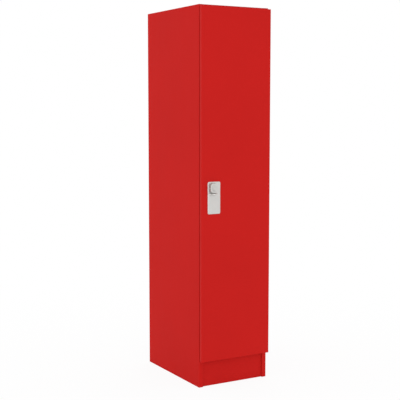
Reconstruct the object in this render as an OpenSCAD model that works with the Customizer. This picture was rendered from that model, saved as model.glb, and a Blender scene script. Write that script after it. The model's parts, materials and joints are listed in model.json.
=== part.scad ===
// Single locker: one tall lay-on door on a laminated board carcass.
// Millimetres. The model is drawn from the carcass's front left bottom corner
// (X to the right, Y to the back, Z up) and then moved so that the origin is
// at the middle of the whole part's footprint, on the floor.

/* [Carcass] */
// Height of the carcass
height = 1800; // [1500:10:2100]
// Width of the carcass
width = 380; // [320:5:500]
// Depth of the carcass, without the door
depth = 525; // [450:5:650]
// Thickness of the carcass boards
board_t = 22; // [20:1:25]
// Thickness of the edging strips
edging_t = 2; // [1:0.5:3]
// Radius of the edging's long arrises
arris_r = 1.5; // [0.5:0.25:2]

/* [Plinth] */
// Height of the bottom panel's underside above the floor
plinth_h = 128; // [90:2:160]
// Set-back of the front plinth from the carcass front
plinth_recess = 8; // [4:1:40]
// Thickness of the plinth boards
plinth_t = 18; // [16:1:22]

/* [Back] */
// Thickness of the back panel
back_t = 8; // [6:1:10]
// Distance from the back panel to the rear edges
back_inset = 12; // [8:1:24]
// Depth of the grooves that hold the back panel
groove_d = 8; // [5:1:10]

/* [Door] */
// Thickness of the door
door_t = 18; // [18:1:22]
// Space between the carcass and the door's back, filled by the hinge leaves
door_gap = 6; // [5.5:0.25:8]
// Drop from the carcass top to the door top
door_top_drop = 6.5; // [2:0.5:12]
// Reach of the door below the bottom panel's underside
door_lap = 1; // [0:0.5:10]
// Diameter of the door buffers
buffer_d = 10; // [8:1:14]
// Distance of the buffers from the door's top and bottom
buffer_end = 45; // [30:5:100]

/* [Hat shelf] */
// Height of the shelf's underside above the floor
shelf_z = 1500; // [1300:10:1560]
// Set-back of the shelf from the carcass front
shelf_recess = 30; // [25:5:60]
// Diameter of the shelf pins
pin_hole_d = 5; // [5:1:8]
// Length of a shelf pin inside the board
pin_depth = 9; // [7:1:12]

/* [Coat rail] */
// Outer diameter of the rail
rail_d = 25; // [20:1:30]
// Wall of the rail
rail_wall = 1.5; // [1:0.25:2]
// Drop from the shelf's underside to the rail's axis
rail_drop = 60; // [50:5:100]
// Diameter of the rail sockets' flanges
socket_flange_d = 56; // [52:1:64]

/* [Hinges] */
// Length of a hinge
hinge_h = 80; // [60:5:110]
// Thickness of the hinge leaves
leaf_t = 2.5; // [1.5:0.25:2.5]
// Width of a leaf on its board
leaf_w = 19; // [16:1:20]
// Diameter of the knuckles
knuckle_d = 9; // [8:0.5:11]
// Diameter of the hinge pins
hinge_pin_d = 5; // [4:0.5:6]
// Number of knuckles on a hinge
knuckles = 5; // [3:2:7]
// Distance from the door's ends to the outer hinges' middles
hinge_end = 160; // [100:10:300]

/* [Lock] */
// Width of the lock plate
plate_w = 68; // [60:1:80]
// Height of the lock plate
plate_h = 152; // [140:1:180]
// Thickness of the lock plate
plate_t = 4; // [3:0.5:6]
// Corner radius of the lock plate
plate_r = 7; // [4:1:12]
// Distance from the door's left edge to the lock plate
plate_x = 32; // [28:1:60]
// Height of the lock plate's middle above the floor
plate_z = 908; // [800:5:1200]
// Side length of the latch knob
knob_w = 42; // [36:1:44]
// Corner radius of the latch knob
knob_r = 12; // [8:1:16]
// Height of the knob's grip above the plate
knob_h = 19.5; // [14:0.5:24]
// Thickness of the knob's grip wall
grip_t = 6; // [5:0.5:8]
// Distance from the plate's left edge to the knob's axis
knob_x = 25; // [24:1:30]
// Distance from the plate's top edge to the knob's axis
knob_drop = 28; // [26:1:34]
// Reach of the padlock eye in front of the plate
eye_reach = 24; // [20:1:30]
// Thickness of the padlock eye
eye_t = 5; // [4:0.5:6]
// Diameter of the padlock holes
shackle_d = 8; // [7:0.5:9]
// Diameter of the latch spindle
spindle_d = 12; // [10:0.5:13]
// Reach of the spindle bush behind the door
bush_reach = 20; // [16:1:26]
// Thickness of the latch cam
cam_t = 3; // [2.5:0.5:4]

/* [Hidden] */

$fn = 48;

// Clearances
fit_gap = 0.1;       // round a fixed piece in its hole, on the radius
run_gap = 0.05;      // round a turning piece in its bearing, on the radius
slide_gap = 0.3;     // between faces that move past each other
seat_gap = 0.2;      // round a board in its groove
cut = 1;             // how far a cutting shape runs past a face
weld = 1;            // how far joined shapes run into each other

// Carcass
inner_w = width - 2 * board_t;
top_z = height - board_t;
floor_z = plinth_h + board_t;
back_y = depth - back_inset - back_t;
rear_plinth_y = back_y - plinth_t;

// Door, measured from its own lower left corner on the carcass frame
door_z = plinth_h - door_lap;
door_top = height - door_top_drop;
door_h = door_top - door_z;
door_back_y = -door_gap;
door_front_y = -door_gap - door_t;

// Hinges: the pin's axis is outside the side panel, half way across the gap
knuckle_clear = 0.5;
pin_x = width + knuckle_clear + knuckle_d / 2;
pin_y = -door_gap / 2;
hinge_zs = [door_z + hinge_end, (door_z + door_top) / 2, door_top - hinge_end];
leaf_reach = knuckle_clear + knuckle_d / 2;
pitch = hinge_h / knuckles;
leaf_screw_x = -leaf_reach - leaf_w / 2;
screw_d = 4;
screw_head_d = 7.6;
screw_head_t = 2;
frame_screw_l = 30;
door_screw_l = 14;
frame_screw_inset = 9;
door_screw_inset = 17;
frame_screw_zs = [-hinge_h / 2 + frame_screw_inset, 0, hinge_h / 2 - frame_screw_inset];
door_screw_zs = [-hinge_h / 2 + door_screw_inset, hinge_h / 2 - door_screw_inset];
pin_head_d = knuckle_d - 1;
pin_head_t = 2;

// Joint fittings between the sides and what stands between them
dowel_d = 8;
dowel_l = 34;
dowel_in_side = 12;
cam_inset = 34;
cam_housing_d = 15;
cam_housing_t = 13;
cam_slot_l = 10;
cam_slot_w = 2;
cam_slot_deep = 2;
cam_bolt_d = 7;
cam_bolt_short = 2;  // the bolt ends this far before the housing's middle
cam_thread_d = 5;
cam_thread_l = 11;
fitting_inset = 64;
dowel_inset = 32;
fitting_ys = [fitting_inset, back_y - fitting_inset];
dowel_ys = [dowel_inset, back_y - dowel_inset];
joint_zs = [plinth_h + board_t / 2, top_z + board_t / 2];
plinth_dowel_zs = [dowel_inset, plinth_h - dowel_inset];
front_plinth_mid_y = plinth_recess + plinth_t / 2;
rear_plinth_mid_y = rear_plinth_y + plinth_t / 2;

// Hat shelf and coat rail
shelf_side_gap = 0.5;
shelf_back_gap = 1;
shelf_d = back_y - shelf_back_gap - shelf_recess;
shelf_pin_inset = 50;
shelf_pin_ys = [shelf_recess + shelf_pin_inset, shelf_recess + shelf_d - shelf_pin_inset];
pin_flange_d = 12;
pin_flange_t = 2;
pin_rest_l = 8;
pin_rest_w = 8;
shelf_pin_z = shelf_z - pin_hole_d / 2 - pin_flange_t;
rail_y = depth / 2;
rail_z = shelf_z - rail_drop;
socket_t = 3;
socket_cup_l = 15;
socket_cup_wall = 2.5;
socket_screw_r = (rail_d / 2 + socket_cup_wall + socket_flange_d / 2) / 2;
socket_screw_l = 16;

// Lock: the knob's axis on the carcass frame
plate_mid_x = plate_x + plate_w / 2;
axis_x = plate_x + knob_x;
axis_z = plate_z + plate_h / 2 - knob_drop;
knob_base_t = 5;
knob_bevel = 1.2;
knob_swing_r = (knob_w / 2 - knob_r) * sqrt(2) + knob_r;
swing_gap = 1.3;     // between the padlock eye and the knob's corners as they pass
plate_bevel_w = 3.5;
plate_bevel_t = 2;
drive_w = 8;
drive_l = 3;
eye_top = -knob_swing_r - swing_gap;
eye_root_over = 3;   // the eye's root is this much wider than the knob, each side
eye_tip_r = 13;
eye_slot_l = 4;
tenon_w = 24;
hole_reach = (knob_base_t + slide_gap + knob_h) / 2;
bush_d = 18;
bush_flange_d = 26;
bush_flange_t = 2;
back_plate_w = 44;
back_plate_t = 2.5;
back_plate_r = 5;
bush_nut_d = 30;
bush_nut_t = 7;
post_d = 8;
post_l = 9;
upper_post_side = 10;
upper_post_drop = 24;
lower_post_rise = 18;
post_places = [
    [plate_w / 2 - upper_post_side, plate_h / 2 - upper_post_drop],
    [0, -plate_h / 2 + lower_post_rise]
];
lock_screw_head_d = 9;
lock_screw_head_t = 2.4;
lock_screw_short = 1;  // the lock screws end this far behind the door's face
square_w = 8;
stud_d = 6;
stud_l = 9;
cam_w = 18;
cam_l = 29;
cam_tip_r = 4;
cam_nut_d = 11.5;
cam_nut_t = 5;
cam_washer_d = 16;
cam_washer_t = 1;

// Keeper on the left side panel
keeper_t = 2.5;
keeper_h = 44;
keeper_reach = 14;
keeper_leg = 26;
keeper_play = 0.6;
cam_front_y = door_back_y + bush_reach + slide_gap;
keeper_y = cam_front_y - keeper_play - keeper_t;
keeper_screw_inset = 9;
keeper_screw_pitch = 24;
keeper_screw_y = keeper_y + keeper_leg - keeper_screw_inset;
keeper_screw_zs = [-keeper_screw_pitch / 2, keeper_screw_pitch / 2];
keeper_screw_l = 16;

// The origin: middle of the whole footprint
front_reach = -door_front_y + plate_t + eye_reach;
centre_x = (width + knuckle_clear + knuckle_d) / 2;
centre_y = (depth - front_reach) / 2;

laminate = [0.78, 0.16, 0.14];
edging = [0.74, 0.13, 0.12];
steel = [0.80, 0.80, 0.79];
silver = [0.84, 0.83, 0.81];

// Moves the carcass frame onto the origin
module placed() {
    translate([-centre_x, -centre_y, 0]) children();
}

// Mirrors its children from the left end of the carcass to the right end
module at_both_ends() {
    children();
    translate([width, 0, 0]) mirror([1, 0, 0]) children();
}

// A bar along X from x = 0
module x_bar(d, l) {
    rotate([0, 90, 0]) cylinder(d = d, h = l);
}

// A bar along Y from y = 0
module y_bar(d, l) {
    rotate([-90, 0, 0]) cylinder(d = d, h = l);
}

// Rounded rectangle with true corner arcs, its middle at the origin
module rounded_rect(w, h, r) {
    square([w - 2 * r, h], center = true);
    square([w, h - 2 * r], center = true);
    for (x = [-1, 1], y = [-1, 1])
        translate([x * (w / 2 - r), y * (h / 2 - r)]) circle(r = r);
}

// A bar along Y whose two long front edges slope in over bevel_w by bevel_t
module bevelled_bar(w, l, bevel_w, bevel_t) {
    rotate([90, 0, 0]) linear_extrude(l, center = true)
        polygon([[-w / 2, 0], [w / 2, 0], [w / 2 - bevel_w, bevel_t], [-w / 2 + bevel_w, bevel_t]]);
}

// A plate on z = 0 with rounded corners and a bevel round its front face
module bevelled_plate(w, h, r, t, bevel_w, bevel_t) {
    linear_extrude(t - bevel_t) rounded_rect(w, h, r);
    translate([0, 0, t - bevel_t]) {
        bevelled_bar(w, h - 2 * r, bevel_w, bevel_t);
        rotate(90) bevelled_bar(h, w - 2 * r, bevel_w, bevel_t);
        for (x = [-1, 1], y = [-1, 1])
            translate([x * (w / 2 - r), y * (h / 2 - r), 0])
                cylinder(h = bevel_t, r1 = r, r2 = r - bevel_w);
    }
}

// Section of an edging strip w wide, with both arrises rounded on the y = 0 face
module edging_profile(w) {
    r = min(arris_r, edging_t);
    intersection() {
        square([w, edging_t]);
        union() {
            translate([0, r]) square([w, edging_t]);
            translate([r, 0]) square([w - 2 * r, edging_t]);
            for (x = [r, w - r]) translate([x, r]) circle(r = r);
        }
    }
}

// Countersunk screw along -Z, the top of its head at z = 0
module countersunk_screw(l, gap = 0) {
    translate([0, 0, -l]) cylinder(d = screw_d + 2 * gap, h = l);
    translate([0, 0, -screw_head_t - gap])
        cylinder(d1 = screw_d + 2 * gap, d2 = screw_head_d + 4 * gap, h = screw_head_t + gap);
}

// Low round head, its flat underside at z = 0
module round_head(d, t) {
    rotate_extrude() intersection() {
        square([d / 2, t]);
        translate([0, t - d]) circle(r = d);
    }
}

// Joint fittings, at the left end

// Dowels of the top and bottom panels and of the plinths
module left_dowels(gap = 0) {
    for (z = joint_zs, y = dowel_ys)
        dowel_at(y, z, gap);
    for (z = plinth_dowel_zs, y = [front_plinth_mid_y, rear_plinth_mid_y])
        dowel_at(y, z, gap);
}

module dowel_at(y, z, gap) {
    translate([board_t - dowel_in_side - gap, y, z])
        x_bar(dowel_d + 2 * gap, dowel_l + 2 * gap);
}

// Bolts that the cam housings pull on
module left_cam_bolts(gap = 0) {
    for (z = joint_zs, y = fitting_ys)
        translate([0, y, z]) {
            translate([board_t - cam_thread_l - gap, 0, 0])
                x_bar(cam_thread_d + 2 * gap, cam_thread_l + 2 * gap);
            translate([board_t, 0, 0])
                x_bar(cam_bolt_d + 2 * gap, cam_inset - cam_bolt_short + gap);
        }
}

// Round housings let into the panels' undersides
module left_cam_housings(gap = 0) {
    for (z = [plinth_h, top_z], y = fitting_ys)
        translate([board_t + cam_inset, y, z - gap])
            cylinder(d = cam_housing_d + 2 * gap, h = cam_housing_t + 2 * gap);
}

// Everything let into the carcass boards at one end
module left_fitting_holes() {
    left_dowels(fit_gap);
    left_cam_bolts(fit_gap);
    left_cam_housings(fit_gap);
}

module joint_dowels() {
    color("burlywood") at_both_ends() left_dowels();
}

module cam_bolts() {
    color(steel) at_both_ends() left_cam_bolts();
}

module cam_housings() {
    color(steel) at_both_ends() difference() {
        left_cam_housings();
        left_cam_bolts(fit_gap);
        for (z = [plinth_h, top_z], y = fitting_ys)
            translate([board_t + cam_inset, y, z])
                for (turn = [0, 90])
                    rotate(turn) cube([cam_slot_l, cam_slot_w, 2 * cam_slot_deep], center = true);
    }
}

// Carcass boards

module back_board(gap = 0) {
    translate([board_t - groove_d - gap, back_y - gap, floor_z - groove_d - gap])
        cube([inner_w + 2 * groove_d + 2 * gap, back_t + 2 * gap,
              top_z - floor_z + 2 * groove_d + 2 * gap]);
}

module back_panel() {
    color(laminate) back_board();
}

// Holes for the shelf pins and the rail's screws, at the left end
module left_inner_holes() {
    for (y = shelf_pin_ys)
        translate([board_t - pin_depth - fit_gap, y, shelf_pin_z])
            x_bar(pin_hole_d + 2 * fit_gap, pin_depth + fit_gap + cut);
    left_rail_screws(fit_gap);
}

module side_board() {
    difference() {
        translate([0, edging_t, 0]) cube([board_t, depth - edging_t, height]);
        left_fitting_holes();
        left_inner_holes();
        back_board(seat_gap);
    }
}

module left_side_panel() {
    color(laminate) difference() {
        side_board();
        keeper_screw_shapes(fit_gap);
    }
}

module right_side_panel() {
    color(laminate) difference() {
        translate([width, 0, 0]) mirror([1, 0, 0]) side_board();
        frame_screw_shapes(fit_gap);
    }
}

// A board between the sides, with its fittings cut out
module cross_board(y, z, d, t) {
    difference() {
        translate([board_t, y, z]) cube([inner_w, d, t]);
        at_both_ends() left_fitting_holes();
        back_board(seat_gap);
    }
}

module top_panel() {
    color(laminate) cross_board(edging_t, top_z, depth - edging_t, board_t);
}

module bottom_panel() {
    color(laminate) cross_board(edging_t, plinth_h, depth - edging_t, board_t);
}

module front_plinth() {
    color(laminate) difference() {
        translate([board_t, plinth_recess, 0]) cube([inner_w, plinth_t, plinth_h]);
        at_both_ends() left_dowels(fit_gap);
    }
}

module rear_plinth() {
    color(laminate) difference() {
        translate([board_t, rear_plinth_y, 0]) cube([inner_w, plinth_t, plinth_h]);
        at_both_ends() left_dowels(fit_gap);
    }
}

// Edging strips on the carcass front

// An upright strip w wide whose rounded face is at y = 0
module upright_strip(w, h) {
    linear_extrude(h) edging_profile(w);
}

// A level strip l long and w high whose rounded face is at y = 0
module level_strip(l, w) {
    translate([0, 0, w]) rotate([0, 90, 0]) linear_extrude(l) edging_profile(w);
}

module left_side_edging() {
    color(edging) upright_strip(board_t, height);
}

module right_side_edging() {
    color(edging) difference() {
        translate([width - board_t, 0, 0]) upright_strip(board_t, height);
        frame_screw_shapes(fit_gap);
    }
}

module top_edging() {
    color(edging) translate([board_t, 0, top_z]) level_strip(inner_w, board_t);
}

module bottom_edging() {
    color(edging) translate([board_t, 0, plinth_h]) level_strip(inner_w, board_t);
}

// Hat shelf

module hat_shelf() {
    color(laminate)
        translate([board_t + shelf_side_gap, shelf_recess + edging_t, shelf_z])
            cube([inner_w - 2 * shelf_side_gap, shelf_d - edging_t, board_t]);
}

module shelf_edging() {
    color(edging)
        translate([board_t + shelf_side_gap, shelf_recess, shelf_z])
            level_strip(inner_w - 2 * shelf_side_gap, board_t);
}

// Pins with a round stop flange and a flat rest under the shelf
module shelf_pins() {
    color(steel) at_both_ends()
        for (y = shelf_pin_ys)
            translate([board_t, y, shelf_pin_z]) {
                translate([-pin_depth, 0, 0]) x_bar(pin_hole_d, pin_depth + weld);
                intersection() {
                    x_bar(pin_flange_d, pin_flange_t);
                    translate([0, -pin_flange_d / 2, -pin_flange_d])
                        cube([pin_flange_t, pin_flange_d, pin_flange_d + shelf_z - shelf_pin_z]);
                }
                translate([0, -pin_rest_w / 2, shelf_z - shelf_pin_z - pin_flange_t])
                    cube([pin_rest_l, pin_rest_w, pin_flange_t]);
            }
}

// Coat rail

module coat_rail() {
    rail_l = inner_w - 2 * socket_t - 2 * slide_gap;
    color(steel) translate([board_t + socket_t + slide_gap, rail_y, rail_z])
        difference() {
            x_bar(rail_d, rail_l);
            translate([-cut, 0, 0]) x_bar(rail_d - 2 * rail_wall, rail_l + 2 * cut);
        }
}

// Flanged cup on the side panel that holds the rail's end
module left_socket() {
    cup_d = rail_d + 2 * fit_gap + 2 * socket_cup_wall;
    translate([board_t, rail_y, rail_z]) difference() {
        union() {
            x_bar(socket_flange_d, socket_t);
            x_bar(cup_d, socket_t + socket_cup_l);
        }
        translate([socket_t, 0, 0]) x_bar(rail_d + 2 * fit_gap, socket_cup_l + cut);
        for (side = [-1, 1])
            translate([socket_t, 0, side * socket_screw_r])
                rotate([0, 90, 0]) countersunk_screw(socket_screw_l, fit_gap);
    }
}

module left_rail_socket() {
    color(steel) left_socket();
}

module right_rail_socket() {
    color(steel) translate([width, 0, 0]) mirror([1, 0, 0]) left_socket();
}

module left_rail_screws(gap = 0) {
    for (side = [-1, 1])
        translate([board_t + socket_t, rail_y, rail_z + side * socket_screw_r])
            rotate([0, 90, 0]) countersunk_screw(socket_screw_l, gap);
}

module rail_screws() {
    color(steel) at_both_ends() left_rail_screws();
}

// Hinges, drawn about the pin's axis with the leaves towards -X

// Knuckles number first, first + 2 and so on, and the links that join them to the leaf
module knuckle_set(first, leaf_y) {
    for (k = [first : 2 : knuckles - 1])
        translate([0, 0, -hinge_h / 2 + k * pitch + slide_gap / 2]) {
            cylinder(d = knuckle_d, h = pitch - slide_gap);
            translate([-leaf_reach - weld, leaf_y, 0])
                cube([leaf_reach + weld, leaf_t, pitch - slide_gap]);
        }
}

// One leaf: a rounded plate with its knuckles, bored for the pin
module hinge_leaf(first, leaf_y, bore) {
    corner_r = 3;
    difference() {
        union() {
            translate([-leaf_reach - leaf_w / 2, leaf_y + leaf_t, 0])
                rotate([90, 0, 0]) linear_extrude(leaf_t)
                    rounded_rect(leaf_w, hinge_h, corner_r);
            knuckle_set(first, leaf_y);
        }
        translate([0, 0, -hinge_h / 2 - cut]) cylinder(d = bore, h = hinge_h + 2 * cut);
    }
}

module at_hinge(number) {
    translate([pin_x, pin_y, hinge_zs[number]]) children();
}

// Frame leaf's screws point to +Y, the door leaf's to -Y
module frame_screws_of_hinge(gap) {
    for (z = frame_screw_zs)
        translate([leaf_screw_x, door_gap / 2 - leaf_t, z])
            rotate([90, 0, 0]) countersunk_screw(frame_screw_l, gap);
}

module door_screws_of_hinge(gap) {
    for (z = door_screw_zs)
        translate([leaf_screw_x, -door_gap / 2 + leaf_t, z])
            rotate([-90, 0, 0]) countersunk_screw(door_screw_l, gap);
}

module frame_screw_shapes(gap = 0) {
    for (number = [0 : len(hinge_zs) - 1])
        at_hinge(number) frame_screws_of_hinge(gap);
}

module door_screw_shapes(gap = 0) {
    for (number = [0 : len(hinge_zs) - 1])
        at_hinge(number) door_screws_of_hinge(gap);
}

module frame_leaf(number) {
    color(steel) at_hinge(number) difference() {
        hinge_leaf(0, door_gap / 2 - leaf_t, hinge_pin_d + 2 * run_gap);
        frame_screws_of_hinge(fit_gap);
    }
}

module door_leaf(number) {
    color(steel) at_hinge(number) difference() {
        hinge_leaf(1, -door_gap / 2, hinge_pin_d + 2 * run_gap);
        door_screws_of_hinge(fit_gap);
    }
}

// Pin with a low round head at each end
module hinge_pin(number) {
    color(steel) at_hinge(number) {
        translate([0, 0, -hinge_h / 2 - weld])
            cylinder(d = hinge_pin_d, h = hinge_h + 2 * weld);
        for (end = [0, 1]) mirror([0, 0, end])
            translate([0, 0, hinge_h / 2]) round_head(pin_head_d, pin_head_t);
    }
}

module frame_hinge_screws() {
    color(steel) frame_screw_shapes();
}

module door_hinge_screws() {
    color(steel) door_screw_shapes();
}

// Door

module door_panel() {
    color(laminate) difference() {
        translate([edging_t, door_front_y, door_z + edging_t])
            cube([width - 2 * edging_t, door_t, door_h - 2 * edging_t]);
        door_screw_shapes(fit_gap);
        on_plate_axis() translate([0, 0, -door_t - cut])
            cylinder(d = bush_d + 2 * fit_gap, h = door_t + 2 * cut);
        on_plate_middle() for (place = post_places) translate([place[0], place[1], 0]) {
            translate([0, 0, -post_l - fit_gap])
                cylinder(d = post_d + 2 * fit_gap, h = post_l + cut);
            translate([0, 0, -door_t - cut])
                cylinder(d = screw_d + 2 * fit_gap, h = door_t);
        }
    }
}

// Four strips with both arrises rounded; the upright ones run the whole height
module door_edging() {
    color(edging) difference() {
        union() {
            translate([0, door_back_y, door_z]) rotate(-90) upright_strip(door_t, door_h);
            translate([width, door_front_y, door_z]) rotate(90) upright_strip(door_t, door_h);
            door_level_strip(door_z, 0);
            door_level_strip(door_top, 1);
        }
        door_screw_shapes(fit_gap);
    }
}

// A level door strip with its rounded face down, or up where flip is 1
module door_level_strip(z, flip) {
    translate([edging_t, door_back_y, z]) mirror([0, 0, flip])
        rotate([90, 0, 90]) linear_extrude(width - 2 * edging_t)
            translate([-door_t, 0]) edging_profile(door_t);
}

module door_buffers() {
    color("dimgray")
        for (z = [door_z + buffer_end, door_top - buffer_end])
            translate([board_t / 2, -door_gap + slide_gap, z])
                y_bar(buffer_d, door_gap - slide_gap);
}

// Lock: local Z points out of the door, z = 0 is the door's face

module on_plate_axis() {
    translate([axis_x, door_front_y, axis_z]) rotate([90, 0, 0]) children();
}

module on_plate_middle() {
    translate([plate_mid_x, door_front_y, plate_z]) rotate([90, 0, 0]) children();
}

// The padlock eye's slot through the plate, with a gap round the tenon
module eye_tenon(gap = 0) {
    translate([-tenon_w / 2 - gap, eye_top - eye_t - gap, -gap])
        cube([tenon_w + 2 * gap, eye_t + 2 * gap, plate_t + 2 * gap]);
}

module lock_plate() {
    color(silver) difference() {
        on_plate_middle() {
            bevelled_plate(plate_w, plate_h, plate_r, plate_t, plate_bevel_w, plate_bevel_t);
            for (place = post_places)
                translate([place[0], place[1], -post_l]) cylinder(d = post_d, h = post_l + weld);
        }
        on_plate_axis() {
            translate([0, 0, -cut]) cylinder(d = bush_d + 2 * fit_gap, h = plate_t + 2 * cut);
            translate([0, 0, plate_t - bush_flange_t])
                cylinder(d = bush_flange_d + 2 * fit_gap, h = bush_flange_t + cut);
            for (z = [-cut, cut]) translate([0, 0, z]) eye_tenon(fit_gap);
        }
        lock_screw_shapes(fit_gap);
    }
}

// Flat eye: a wide root on the plate, a round tip and a long hole for the shackle
module padlock_eye() {
    color(silver) on_plate_axis() difference() {
        union() {
            eye_tenon();
            translate([0, eye_top, plate_t]) rotate([90, 0, 0])
                linear_extrude(eye_t) eye_outline();
        }
        translate([0, eye_top + cut, plate_t + hole_reach]) rotate([90, 0, 0])
            linear_extrude(eye_t + 2 * cut) {
                translate([-shackle_d / 2, 0]) square([shackle_d, eye_slot_l]);
                circle(d = shackle_d);
                translate([0, eye_slot_l]) circle(d = shackle_d);
            }
    }
}

// Seen from above: flared root, straight flanks and a round tip
module eye_outline() {
    tip_y = eye_reach - eye_tip_r;
    root_x = knob_w / 2 + eye_root_over;
    translate([0, tip_y]) circle(r = eye_tip_r);
    polygon([[-root_x, 0], [root_x, 0], [eye_tip_r, tip_y], [-eye_tip_r, tip_y]]);
}

module spindle_bush() {
    color(steel) on_plate_axis() difference() {
        union() {
            translate([0, 0, -door_t - bush_reach])
                cylinder(d = bush_d, h = door_t + bush_reach + plate_t);
            translate([0, 0, plate_t - bush_flange_t])
                cylinder(d = bush_flange_d, h = bush_flange_t);
        }
        translate([0, 0, -door_t - bush_reach - cut])
            cylinder(d = spindle_d + 2 * run_gap, h = door_t + bush_reach + plate_t + 2 * cut);
    }
}

// Steel plate that spreads the bush nut's load on the door's back
module lock_back_plate() {
    color(steel) on_plate_axis() translate([0, 0, -door_t - back_plate_t]) difference() {
        linear_extrude(back_plate_t) rounded_rect(back_plate_w, back_plate_w, back_plate_r);
        translate([0, 0, -cut]) cylinder(d = bush_d + 2 * fit_gap, h = back_plate_t + 2 * cut);
    }
}

module bush_nut() {
    color(steel) on_plate_axis()
        translate([0, 0, -door_t - back_plate_t - bush_nut_t]) difference() {
            cylinder(d = bush_nut_d, h = bush_nut_t, $fn = 6);
            translate([0, 0, -cut])
                cylinder(d = bush_d + 2 * fit_gap, h = bush_nut_t + 2 * cut);
        }
}

// Screws from the door's back into the plate's posts
module lock_screw_shapes(gap = 0) {
    shank_l = door_t - lock_screw_short;
    on_plate_middle() for (place = post_places)
        translate([place[0], place[1], -door_t]) mirror([0, 0, 1]) {
            translate([0, 0, -shank_l - gap]) cylinder(d = screw_d + 2 * gap, h = shank_l + 2 * gap);
            round_head(lock_screw_head_d, lock_screw_head_t);
        }
}

module lock_screws() {
    color(steel) lock_screw_shapes();
}

// Latch: turns in the bush

// Turning grip: a low square base and a high wall round three of its sides
module latch_knob() {
    base_z = plate_t + slide_gap;
    color(silver) on_plate_axis() difference() {
        union() {
            translate([0, 0, base_z])
                bevelled_plate(knob_w, knob_w, knob_r, knob_base_t, knob_bevel, knob_bevel);
            translate([0, 0, base_z]) linear_extrude(knob_h - slide_gap) grip_outline();
        }
        translate([0, 0, base_z + drive_l / 2 - cut / 2])
            cube([drive_w + 2 * fit_gap, drive_w + 2 * fit_gap, drive_l + cut + 2 * fit_gap],
                 center = true);
        translate([-knob_w / 2 - cut, 0, plate_t + hole_reach])
            x_bar(shackle_d, grip_t + 2 * cut);
    }
}

// The knob's outline hollowed to a wall, open on the right, where its two arms end round
module grip_outline() {
    inner_r = knob_r - grip_t / 2;
    arm_x = knob_w / 2 - knob_r;
    difference() {
        intersection() {
            rounded_rect(knob_w, knob_w, knob_r);
            translate([-knob_w / 2, -knob_w / 2]) square([knob_w / 2 + arm_x, knob_w]);
        }
        translate([grip_t, 0]) rounded_rect(knob_w, knob_w - 2 * grip_t, inner_r);
    }
    for (side = [-1, 1])
        translate([arm_x, side * (knob_w - grip_t) / 2]) circle(d = grip_t);
}

module latch_spindle() {
    rear_z = -door_t - bush_reach;
    color(steel) on_plate_axis() {
        translate([0, 0, rear_z - slide_gap])
            cylinder(d = spindle_d, h = door_t + bush_reach + plate_t + 2 * slide_gap);
        translate([0, 0, plate_t + slide_gap + drive_l / 2])
            cube([drive_w, drive_w, drive_l], center = true);
        translate([-square_w / 2, -square_w / 2, rear_z - slide_gap - cam_t])
            cube([square_w, square_w, cam_t]);
        translate([0, 0, rear_z - slide_gap - cam_t - stud_l])
            cylinder(d = stud_d, h = stud_l + weld);
    }
}

// Flat cam that points up when free and turns behind the keeper
module latch_cam() {
    color(steel) on_plate_axis()
        translate([0, 0, -door_t - bush_reach - slide_gap - cam_t]) difference() {
            union() {
                cylinder(d = cam_w, h = cam_t);
                translate([0, cam_l / 2, 0]) linear_extrude(cam_t)
                    rounded_rect(cam_w, cam_l, cam_tip_r);
            }
            translate([0, 0, cam_t / 2])
                cube([square_w + 2 * fit_gap, square_w + 2 * fit_gap, cam_t + 2 * cut],
                     center = true);
        }
}

module cam_washer() {
    color(steel) on_plate_axis()
        translate([0, 0, -door_t - bush_reach - slide_gap - cam_t - cam_washer_t])
            difference() {
                cylinder(d = cam_washer_d, h = cam_washer_t);
                translate([0, 0, -cut])
                    cylinder(d = stud_d + 2 * fit_gap, h = cam_washer_t + 2 * cut);
            }
}

module cam_nut() {
    color(steel) on_plate_axis()
        translate([0, 0, -door_t - bush_reach - slide_gap - cam_t - cam_washer_t - cam_nut_t])
            difference() {
                cylinder(d = cam_nut_d, h = cam_nut_t, $fn = 6);
                translate([0, 0, -cut])
                    cylinder(d = stud_d + 2 * fit_gap, h = cam_nut_t + 2 * cut);
            }
}

// Keeper: an angle on the left side panel; the cam turns behind its front flange
module latch_keeper() {
    color(steel) difference() {
        translate([board_t, keeper_y, axis_z - keeper_h / 2]) linear_extrude(keeper_h)
            keeper_profile();
        keeper_screw_shapes(fit_gap);
    }
}

module keeper_profile() {
    square([keeper_t, keeper_leg]);
    square([keeper_reach, keeper_t]);
}

module keeper_screw_shapes(gap = 0) {
    for (z = keeper_screw_zs)
        translate([board_t + keeper_t, keeper_screw_y, axis_z + z])
            rotate([0, 90, 0]) countersunk_screw(keeper_screw_l, gap);
}

module keeper_screws() {
    color(steel) keeper_screw_shapes();
}

placed() left_side_panel();
placed() right_side_panel();
placed() top_panel();
placed() bottom_panel();
placed() back_panel();
placed() front_plinth();
placed() rear_plinth();
placed() left_side_edging();
placed() right_side_edging();
placed() top_edging();
placed() bottom_edging();
placed() hat_shelf();
placed() shelf_edging();
placed() shelf_pins();
placed() joint_dowels();
placed() cam_bolts();
placed() cam_housings();
placed() coat_rail();
placed() left_rail_socket();
placed() right_rail_socket();
placed() rail_screws();
placed() frame_leaf(2);  // upper_frame_leaf
placed() frame_leaf(1);  // middle_frame_leaf
placed() frame_leaf(0);  // lower_frame_leaf
placed() hinge_pin(2);  // upper_hinge_pin
placed() hinge_pin(1);  // middle_hinge_pin
placed() hinge_pin(0);  // lower_hinge_pin
placed() frame_hinge_screws();
placed() latch_keeper();
placed() keeper_screws();
placed() door_buffers();
placed() door_panel();
placed() door_edging();
placed() door_leaf(2);  // upper_door_leaf
placed() door_leaf(1);  // middle_door_leaf
placed() door_leaf(0);  // lower_door_leaf
placed() door_hinge_screws();
placed() lock_plate();
placed() padlock_eye();
placed() spindle_bush();
placed() lock_back_plate();
placed() bush_nut();
placed() lock_screws();
placed() latch_knob();
placed() latch_spindle();
placed() latch_cam();
placed() cam_washer();
placed() cam_nut();
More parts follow.
